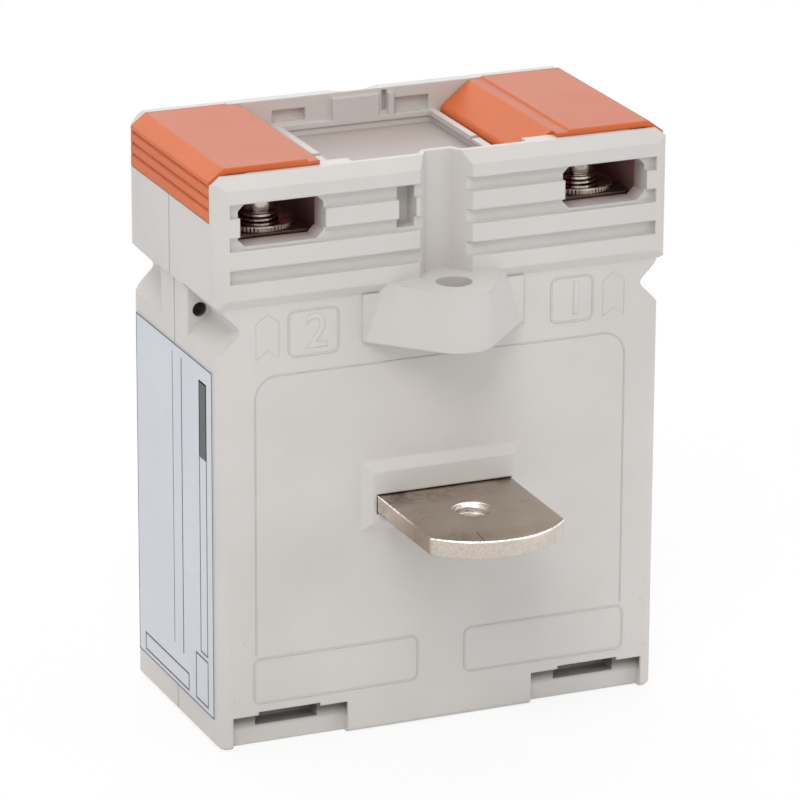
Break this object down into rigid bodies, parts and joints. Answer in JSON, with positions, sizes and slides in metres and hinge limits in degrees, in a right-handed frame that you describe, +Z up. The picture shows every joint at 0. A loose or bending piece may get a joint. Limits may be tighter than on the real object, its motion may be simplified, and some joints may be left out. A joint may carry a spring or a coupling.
{
  "type": "current transformer",
  "caption": "Wound-primary current transformer in an upright two-shell case with flat primary blades, a ribbed terminal block, hinged terminal covers and a notched side.",
  "frame": {"origin": "centre of the case at the level of its base", "axes": "+Z up, -Y out of the front face with the lug, +X to the right seen from the front"},
  "size_m": [0.0606, 0.073, 0.0752],
  "materials": {
    "case_plastic": "fine moulded grain, satin",
    "cover_plastic": "satin moulding",
    "plated_copper": "tin plated, satin bright",
    "bar_metal": "tin plated",
    "screw_steel": "nickel plated",
    "copper_wire": "enamelled",
    "core_steel": "wound strip",
    "core_liner": "moulded",
    "label_paper": "film covered, slightly glossy"
  },
  "bodies": {
    "case": {"front_shell": "case_plastic", "rear_shell": "case_plastic", "front_primary_blade": "plated_copper", "rear_primary_blade": "plated_copper", "primary_winding": "copper_wire", "ring_core": "core_steel", "core_insulation": "core_liner", "secondary_winding": "copper_wire", "rating_label": "label_paper", "left_secondary_lead": "copper_wire", "right_secondary_lead": "copper_wire", "left_terminal_bar": "bar_metal", "right_terminal_bar": "bar_metal"},
    "left_cover": {"left_terminal_cover": "cover_plastic"},
    "right_cover": {"right_terminal_cover": "cover_plastic"},
    "left_front_clamp": {"left_front_clamp_washer": "screw_steel", "left_front_lock_washer": "screw_steel"},
    "left_front_screw": {"left_front_terminal_screw": "screw_steel"},
    "left_rear_clamp": {"left_rear_clamp_washer": "screw_steel", "left_rear_lock_washer": "screw_steel"},
    "left_rear_screw": {"left_rear_terminal_screw": "screw_steel"},
    "right_front_clamp": {"right_front_clamp_washer": "screw_steel", "right_front_lock_washer": "screw_steel"},
    "right_front_screw": {"right_front_terminal_screw": "screw_steel"},
    "right_rear_clamp": {"right_rear_clamp_washer": "screw_steel", "right_rear_lock_washer": "screw_steel"},
    "right_rear_screw": {"right_rear_terminal_screw": "screw_steel"}
  },
  "joints": [
    {"name": "left_cover_hinge", "type": "hinge", "parent": "case", "child": "left_cover", "pos_m": [-0.0128, 0, 0.07129], "axis": [0, 1, 0], "range_deg": [0, 85]},
    {"name": "right_cover_hinge", "type": "hinge", "parent": "case", "child": "right_cover", "pos_m": [0.0128, 0, 0.07129], "axis": [0, -1, 0], "range_deg": [0, 85]},
    {"name": "left_front_clamp_lift", "type": "slide", "parent": "case", "child": "left_front_clamp", "axis": [0, 0, 1], "range_m": [0, 0.002]},
    {"name": "left_front_screw_turn", "type": "hinge", "parent": "left_front_clamp", "child": "left_front_screw", "pos_m": [-0.0215, -0.0072, 0.0672], "axis": [0, 0, 1], "range_deg": [0, 1440]},
    {"name": "left_rear_clamp_lift", "type": "slide", "parent": "case", "child": "left_rear_clamp", "axis": [0, 0, 1], "range_m": [0, 0.002]},
    {"name": "left_rear_screw_turn", "type": "hinge", "parent": "left_rear_clamp", "child": "left_rear_screw", "pos_m": [-0.0215, 0.0072, 0.0672], "axis": [0, 0, 1], "range_deg": [0, 1440]},
    {"name": "right_front_clamp_lift", "type": "slide", "parent": "case", "child": "right_front_clamp", "axis": [0, 0, 1], "range_m": [0, 0.002]},
    {"name": "right_front_screw_turn", "type": "hinge", "parent": "right_front_clamp", "child": "right_front_screw", "pos_m": [0.0215, -0.0072, 0.0672], "axis": [0, 0, 1], "range_deg": [0, 1440]},
    {"name": "right_rear_clamp_lift", "type": "slide", "parent": "case", "child": "right_rear_clamp", "axis": [0, 0, 1], "range_m": [0, 0.002]},
    {"name": "right_rear_screw_turn", "type": "hinge", "parent": "right_rear_clamp", "child": "right_rear_screw", "pos_m": [0.0215, 0.0072, 0.0672], "axis": [0, 0, 1], "range_deg": [0, 1440]}
  ],
  "couplings": [
    {"joint": "left_front_screw_turn", "follows": "left_front_clamp_lift", "rad_per_m": 12566},
    {"joint": "left_rear_screw_turn", "follows": "left_rear_clamp_lift", "rad_per_m": 12566},
    {"joint": "right_front_screw_turn", "follows": "right_front_clamp_lift", "rad_per_m": 12566},
    {"joint": "right_rear_screw_turn", "follows": "right_rear_clamp_lift", "rad_per_m": 12566}
  ]
}
